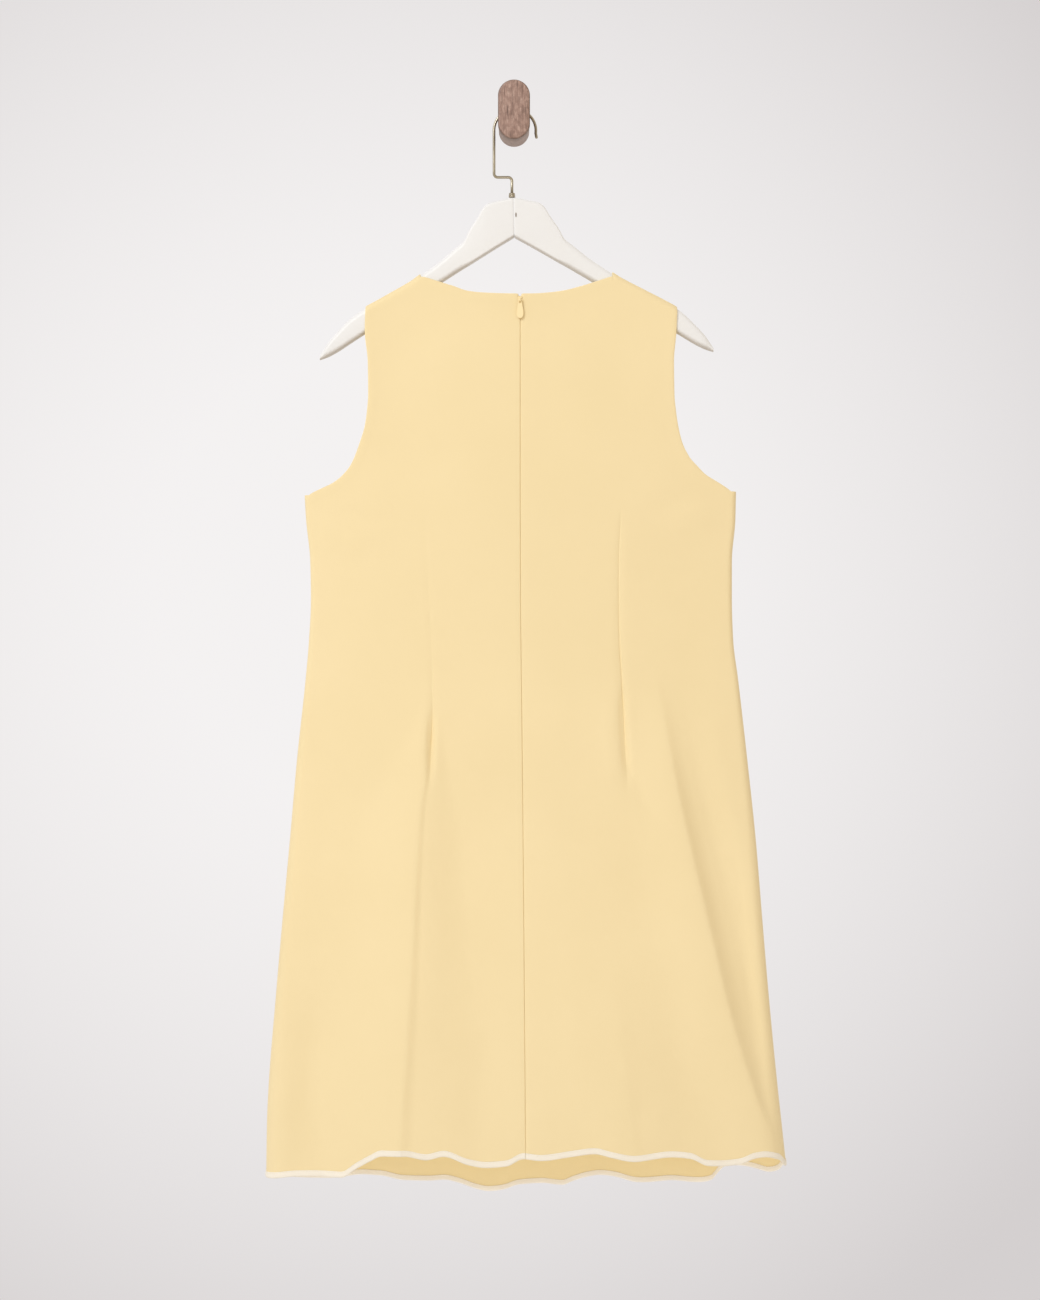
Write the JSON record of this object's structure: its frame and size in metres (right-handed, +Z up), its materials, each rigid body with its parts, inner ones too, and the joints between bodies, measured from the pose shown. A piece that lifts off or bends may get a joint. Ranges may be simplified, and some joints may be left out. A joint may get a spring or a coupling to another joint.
{
  "type": "a-line dress on a hanger and wall peg",
  "caption": "Sleeveless A-line dress with scooped front neckline, wavy bound hem and centre-back zip, hung flat on a wooden hanger from a wooden wall peg",
  "frame": {"origin": "Centre of the peg's flat round back face, which lies against the wall (plane y = 0).", "axes": "X to the right as seen from the room, Y into the wall, Z up. The dress hangs with its back to the room (-Y)."},
  "size_m": [0.5561, 0.0794, 1.1866],
  "materials": {
    "butter_crepe": "matte crepe",
    "cream_binding": "matte woven strip",
    "zip_tape": "matte tape",
    "zip_enamel": "satin enamel",
    "white_paint": "satin white paint",
    "brass": "satin",
    "walnut": "oiled"
  },
  "bodies": {
    "dress": {"back_left_panel": "butter_crepe", "back_right_panel": "butter_crepe", "front_panel": "butter_crepe", "hem_binding_back_left": "cream_binding", "hem_binding_back_right": "cream_binding", "hem_binding_front": "cream_binding", "zip_tape_left": "zip_tape", "zip_tape_right": "zip_tape", "zip_slider": "zip_enamel", "hanger_arm_left": "white_paint", "hanger_arm_right": "white_paint", "hanger_hook": "brass", "wall_peg": "walnut"},
    "pull_tab": {"zip_pull_tab": "zip_enamel"}
  },
  "joints": [
    {"name": "pull_tab_swing", "type": "hinge", "parent": "dress", "child": "pull_tab", "pos_m": [0.0064, -0.0362, -0.1864], "axis": [-1, 0, 0], "range_deg": [0, 170]}
  ]
}
